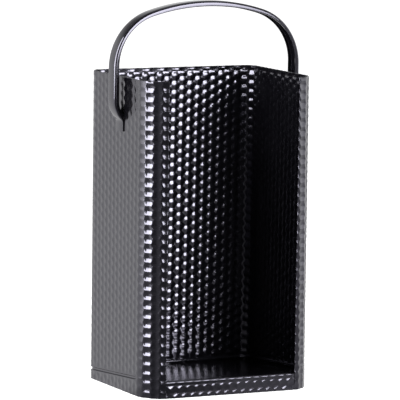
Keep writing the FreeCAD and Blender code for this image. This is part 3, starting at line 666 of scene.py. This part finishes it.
def flange_depth(point, outward):
    """Depth of the channel at a point of the outer face, to the flanges' own arch and to the wall."""
    span = HANDLE_HIGH.x - LEG_DEPTH
    top = HANDLE_HIGH.z - GRIP_DEPTH
    shoulder_x, shoulder_z, meet = arch(span, top, INNER_CROWN_RADIUS, INNER_SHOULDER_RADIUS)
    if point[1] <= shoulder_z:
        room = abs(point[0]) - HALF_WIDTH - GAP
        return max(min(LEG_DEPTH, room), STRAP_SHEET)
    crown = (0.0, top - INNER_CROWN_RADIUS)
    depth = reach_of_circle(point, -outward, crown, INNER_CROWN_RADIUS)
    met = point - outward * depth - crown
    if abs(math.atan2(met[0], met[1])) <= meet:
        return depth
    shoulder = (math.copysign(shoulder_x, point[0]), shoulder_z)
    return reach_of_circle(point, -outward, shoulder, INNER_SHOULDER_RADIUS)


def strap_section(depth, rounding):
    """Closed section of the channel: places across the strap and depths in from its outer face."""
    inner_round = max(rounding - STRAP_SHEET, LEAST_ROUND)
    sides = []
    for start, radius in ((0.0, rounding), (STRAP_SHEET, inner_round)):
        left = np.vstack([(start, depth), bend_profile(start, radius, ROUND_STEPS)])
        left[:, 0] -= STRAP_WIDTH / 2
        right = left[::-1] * (-1, 1)
        sides.append(np.vstack([left, right]))
    outside, inside = sides
    section = np.vstack([outside, inside[::-1]])
    section[:, 1] = np.minimum(section[:, 1], depth)
    return section


def make_handle(material):
    """The strap: its section swept along the arch, flattening out to the tabs."""
    path = strap_path()
    places = [0.0]
    for reach in lengths_of(path):
        start = places[-1]
        steps = max(LEAST_STATIONS, math.ceil(reach / STATION_STEP))
        places += [start + reach * step / steps for step in range(1, steps + 1)]
    rings = []
    for point, outward in zip(*along(path, np.array(places))):
        depth = flange_depth(point, outward)
        rounding = min(STRAP_ROUND, max(TAB_ROUND, depth - ROUND_CLEAR))
        section = strap_section(depth, rounding)
        side_view = point - outward * section[:, 1:]
        rings.append(np.column_stack([side_view[:, 0], STRAP_MIDDLE + section[:, 0], side_view[:, 1]]))
    last = len(rings) - 1
    around = len(rings[0])
    faces = []
    for ring in range(last):
        faces += ring_faces(ring, ring + 1, around)
    faces.append(ring_cap(0, around)[::-1])
    faces.append(ring_cap(last, around))
    points = np.concatenate(rings)
    new_piece("handle_strap", points, faces, "root", "handle", material, SMOOTH_SHARP)


# Shader nodes


def feed(tree, socket, value):
    """Links an input to what another node gives, or sets it to a constant."""
    if isinstance(value, bpy.types.NodeSocket):
        tree.links.new(value, socket)
    else:
        socket.default_value = value


def shader_node(tree, kind, **settings):
    """A shader node with some of its properties and inputs set, in the order given."""
    made = tree.nodes.new(kind)
    for name, value in settings.items():
        key = name.replace("_", " ").title()
        if key in made.inputs:
            feed(tree, made.inputs[key], value)
        else:
            setattr(made, name, value)
    return made


def noise(tree, place, scale, detail):
    """A noise texture at places in the part's own coordinates."""
    return shader_node(tree, "ShaderNodeTexNoise", vector=place, scale=scale, detail=detail).outputs["Fac"]


def map_range(tree, value, **limits):
    """A value moved from one range to another and held at its ends."""
    return shader_node(tree, "ShaderNodeMapRange", **limits, value=value).outputs["Result"]


def noise_range(tree, value, low, high):
    """The middle of a noise's values, moved to a range of its own."""
    return map_range(tree, value, from_min=NOISE_LOW, from_max=NOISE_HIGH, to_min=low, to_max=high)


def mixed_color(tree, factor, first, second):
    """A colour between two others."""
    made = shader_node(tree, "ShaderNodeMix", data_type="RGBA", factor=factor, a=first, b=second)
    return next(socket for socket in made.outputs if socket.type == "RGBA")


def combined(tree, operation, first, second):
    """The product, the larger one or another plain result of two values."""
    made = shader_node(tree, "ShaderNodeMath", operation=operation)
    feed(tree, made.inputs[0], first)
    feed(tree, made.inputs[1], second)
    return made.outputs["Value"]


# Materials


def new_material(name):
    """A material with its node tree and the inputs of its shader."""
    material = bpy.data.materials.new(name)
    material.use_nodes = True
    tree = material.node_tree
    return material, tree, tree.nodes["Principled BSDF"].inputs


def lacquer(name, rough_low, rough_high, peel):
    """Black gloss lacquer: faint clouds in its colour, uneven gloss and orange peel."""
    material, tree, shader = new_material(name)
    place = shader_node(tree, "ShaderNodeTexCoord").outputs["Object"]
    clouds = noise_range(tree, noise(tree, place, *CLOUD_NOISE), 0.0, 1.0)
    gloss = noise_range(tree, noise(tree, place, *GLOSS_NOISE), rough_low, rough_high)
    grain = noise(tree, place, *PEEL_NOISE)
    bump = shader_node(tree, "ShaderNodeBump", strength=peel, distance=PEEL_DEPTH, height=grain)
    feed(tree, shader["IOR"], LACQUER_IOR)
    feed(tree, shader["Specular Tint"], LACQUER_TINT)
    feed(tree, shader["Base Color"], mixed_color(tree, clouds, LACQUER_DARK, LACQUER_LIGHT))
    feed(tree, shader["Roughness"], gloss)
    feed(tree, shader["Normal"], bump.outputs["Normal"])
    return material


# Studio


def backdrop_share(tree, direction, low, high):
    """1 toward the white backdrop and 0 toward the dark side of the room where the camera stands."""
    facing = shader_node(tree, "ShaderNodeVectorMath", operation="DOT_PRODUCT")
    feed(tree, facing.inputs[0], direction)
    feed(tree, facing.inputs[1], BACKDROP_AIM)
    toward = facing.outputs["Value"]
    return map_range(tree, toward, interpolation_type="SMOOTHSTEP", from_min=low, from_max=high)


def room_shine(tree, direction):
    """Brightness of the dim side of the room in a direction: darkest beside the camera."""
    unit = shader_node(tree, "ShaderNodeVectorMath", operation="NORMALIZE", vector=direction)
    parts = shader_node(tree, "ShaderNodeSeparateXYZ", vector=unit.outputs["Vector"])
    share = map_range(tree, parts.outputs["X"], from_min=-1.0)
    ramp = shader_node(tree, "ShaderNodeValToRGB", fac=share)
    stops = ramp.color_ramp.elements
    while len(stops) < len(ROOM_STOPS):
        stops.new(1.0)
    for stop, (place, shine) in zip(stops, ROOM_STOPS):
        stop.position = place
        stop.color = (shine, shine, shine, 1.0)
    return ramp.outputs["Color"]


def ray_kinds(tree):
    """1 for a ray from the camera, and 1 for a ray from a shiny surface."""
    rays = shader_node(tree, "ShaderNodeLightPath").outputs
    shiny = combined(tree, "MAXIMUM", rays["Is Glossy Ray"], rays["Is Transmission Ray"])
    return rays["Is Camera Ray"], shiny


def make_world():
    """White to the camera, white behind the object and dim before it in reflections, and a dim even fill."""
    world = bpy.data.worlds.new("studio")
    bpy.context.scene.world = world
    world.use_nodes = True
    tree = world.node_tree
    camera, shiny = ray_kinds(tree)
    direction = shader_node(tree, "ShaderNodeTexCoord").outputs["Generated"]
    share = backdrop_share(tree, direction, BACKDROP_EDGE - BACKDROP_BLUR, BACKDROP_EDGE + BACKDROP_BLUR)
    height = shader_node(tree, "ShaderNodeSeparateXYZ", vector=direction).outputs["Z"]
    low = map_range(tree, height, interpolation_type="SMOOTHSTEP",
                    from_min=BACKDROP_TOP, from_max=BACKDROP_FADED, to_min=1.0, to_max=0.0)
    backdrop = combined(tree, "MULTIPLY", share, low)
    around = combined(tree, "MAXIMUM", backdrop, room_shine(tree, direction))
    seen = combined(tree, "MAXIMUM", camera, combined(tree, "MULTIPLY", shiny, around))
    background = tree.nodes["Background"].inputs
    feed(tree, background["Color"], WHITE)
    feed(tree, background["Strength"], combined(tree, "MAXIMUM", seen, ROOM_LIGHT))


def floor_material():
    """Pale paint that glows white to the camera, and in reflections as the room over it does."""
    material, tree, shader = new_material("pale_floor")
    camera, shiny = ray_kinds(tree)
    place = shader_node(tree, "ShaderNodeTexCoord").outputs["Object"]
    share = backdrop_share(tree, place, DARK_FLOOR_FROM, PALE_FLOOR_FROM)
    around = combined(tree, "MAXIMUM", share, room_shine(tree, place))
    away = shader_node(tree, "ShaderNodeVectorMath", operation="LENGTH", vector=place).outputs["Value"]
    glow = map_range(tree, away, interpolation_type="SMOOTHSTEP",
                     from_min=SHADOW_REACH, from_max=GLOW_REACH, to_min=FLOOR_GLOW, to_max=FLOOR_FAR_GLOW)
    pale = combined(tree, "MULTIPLY", camera, glow)
    seen = combined(tree, "MAXIMUM", pale, combined(tree, "MULTIPLY", shiny, around))
    # Near-black paint in reflections is a painted shade: the lamps' light on the floor adds little to what
    # the lacquer mirrors
    feed(tree, shader["Base Color"], mixed_color(tree, shiny, FLOOR_COLOR, FLOOR_REFLECTED))
    feed(tree, shader["Roughness"], 1.0)
    feed(tree, shader["Specular IOR Level"], 0.0)
    feed(tree, shader["Emission Color"], WHITE)
    feed(tree, shader["Emission Strength"], seen)
    return material


def make_floor():
    """Pale floor that the camera sees as white, with the object's shadow on it."""
    corners = [(-FLOOR_REACH, -FLOOR_REACH, 0), (FLOOR_REACH, -FLOOR_REACH, 0),
               (FLOOR_REACH, FLOOR_REACH, 0), (-FLOOR_REACH, FLOOR_REACH, 0)]
    mesh = bpy.data.meshes.new("floor")
    mesh.from_pydata(corners, [], [(0, 1, 2, 3)])
    mesh.materials.append(floor_material())
    floor = bpy.data.objects.new("floor", mesh)
    bpy.context.scene.collection.objects.link(floor)


def make_lamp(name, place, aim, wide, high, glow, lean=0.0, beam=HALF_TURN):
    """A soft box at a place, turned toward a point, leaning to one side, its light within a beam."""
    lamp = bpy.data.lights.new(name, "AREA")
    lamp.shape = "RECTANGLE"
    lamp.size = wide
    lamp.size_y = high
    lamp.energy = glow * wide * high * math.pi
    lamp.spread = beam
    made = bpy.data.objects.new(name, lamp)
    place = Vector(place)
    turned = (Vector(aim) - place).to_track_quat("-Z", "Y").to_matrix().to_4x4()
    made.matrix_world = Matrix.Translation(place) @ turned @ Matrix.Rotation(lean, 4, "Z")
    bpy.context.scene.collection.objects.link(made)


def make_camera():
    """The photograph's view."""
    sine, cosine = math.sin(CAMERA_TURN), math.cos(CAMERA_TURN)
    level = math.cos(CAMERA_TILT)
    ahead = Vector((sine * level, cosine * level, -math.sin(CAMERA_TILT)))
    flat_right = Vector((cosine, -sine, 0.0))
    flat_up = flat_right.cross(ahead)
    right = math.cos(CAMERA_ROLL) * flat_right + math.sin(CAMERA_ROLL) * flat_up
    up = math.cos(CAMERA_ROLL) * flat_up - math.sin(CAMERA_ROLL) * flat_right
    stand = Vector((-CAMERA_DISTANCE * sine, -CAMERA_DISTANCE * cosine, CAMERA_HEIGHT))
    place = stand + CAMERA_ASIDE * flat_right
    data = bpy.data.cameras.new("camera")
    data.sensor_width = SENSOR
    data.lens = FOCAL_PIXELS * SENSOR / PICTURE
    data.clip_end = CAMERA_SIGHT
    camera = bpy.data.objects.new("camera", data)
    turned = Matrix((right, up, -ahead)).transposed().to_4x4()
    camera.matrix_world = Matrix.Translation(place) @ turned
    bpy.context.scene.collection.objects.link(camera)
    bpy.context.scene.camera = camera


embossed = lacquer("embossed_lacquer", rough_low=0.12, rough_high=0.18, peel=0.06)
smooth = lacquer("smooth_lacquer", rough_low=0.07, rough_high=0.13, peel=0.1)
worn = lacquer("worn_lacquer", rough_low=0.15, rough_high=0.24, peel=0.1)
make_shell(embossed)
make_lip(embossed)
make_pan(worn)
make_handle(smooth)
make_world()
make_floor()
for settings in LAMPS:
    make_lamp(**settings)
make_camera()
bpy.context.scene.view_settings.view_transform = "Standard"
